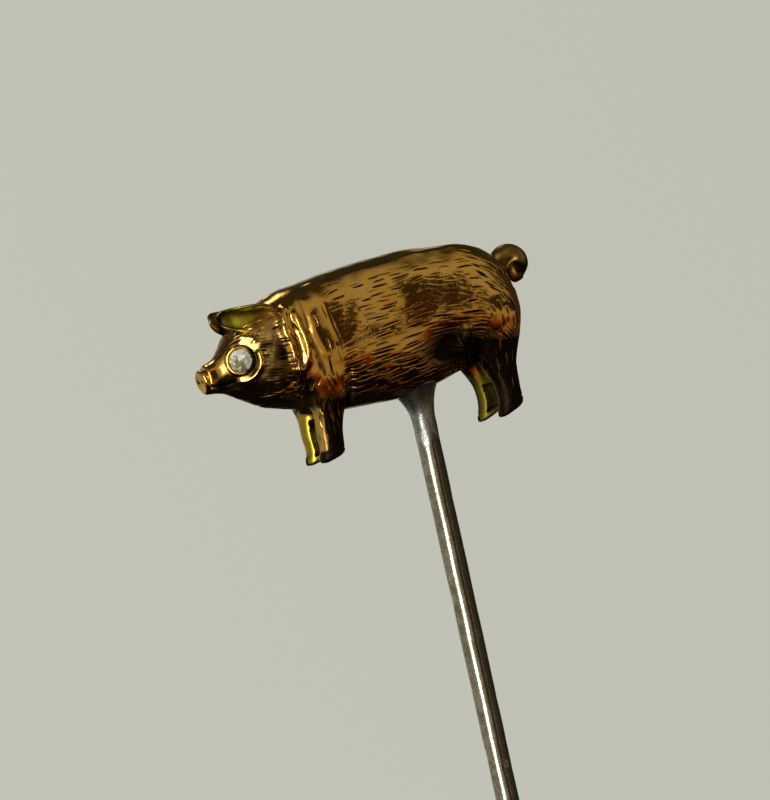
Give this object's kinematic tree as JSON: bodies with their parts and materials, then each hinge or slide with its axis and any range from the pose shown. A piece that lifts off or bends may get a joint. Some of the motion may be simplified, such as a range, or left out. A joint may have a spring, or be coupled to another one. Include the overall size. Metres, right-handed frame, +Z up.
{
  "type": "stick pin",
  "caption": "Figural stick pin: a hollow gilt pig with paste eyes, cupped ears and a curled tail, soldered to a long round stem with a sharp point and a sliding ball-lock keeper.",
  "frame": {"origin": "on the stem's axis, where the solder cone ends and the free stem begins", "axes": "+Z up along the stem towards the pig, -X the way the pig looks, -Y the pig's left"},
  "size_m": [0.0163, 0.005, 0.0645],
  "materials": {
    "rose_gilt": "worn rose gilding on struck base metal, dark in the engraved lines",
    "yellow_gilt": "unworn yellow gilding",
    "paste_stone": "cut clear paste with a foiled back, chipped edges",
    "soft_solder": "dull grey soft solder",
    "stem_metal": "tarnished and pitted drawn wire",
    "keeper_nickel": "turned brass with worn nickel plate",
    "hard_steel": "hardened steel balls and music wire"
  },
  "bodies": {
    "pin": {"body_shell_left": "rose_gilt", "body_shell_right": "rose_gilt", "snout_disc": "rose_gilt", "ear_left": "yellow_gilt", "ear_right": "yellow_gilt", "eye_collet_left": "yellow_gilt", "eye_collet_right": "yellow_gilt", "eye_stone_left": "paste_stone", "eye_stone_right": "paste_stone", "tail": "rose_gilt", "seam_solder": "soft_solder", "stem_anchor": "yellow_gilt", "belly_solder": "soft_solder", "pin_stem": "stem_metal"},
    "keeper": {"keeper_barrel": "keeper_nickel", "keeper_cap": "keeper_nickel", "keeper_spring": "hard_steel"},
    "plunger": {"keeper_plunger": "keeper_nickel", "keeper_balls": "hard_steel", "keeper_knob": "keeper_nickel"}
  },
  "joints": [
    {"name": "keeper_slide", "type": "slide", "parent": "pin", "child": "keeper", "axis": [0, 0, -1], "range_m": [0, 0.016]},
    {"name": "keeper_release", "type": "slide", "parent": "keeper", "child": "plunger", "axis": [0, 0, -1], "range_m": [0, 0.0008], "stiffness_N_per_m": 40, "springref_m": -0.0008, "deforming": ["keeper_spring"]}
  ]
}
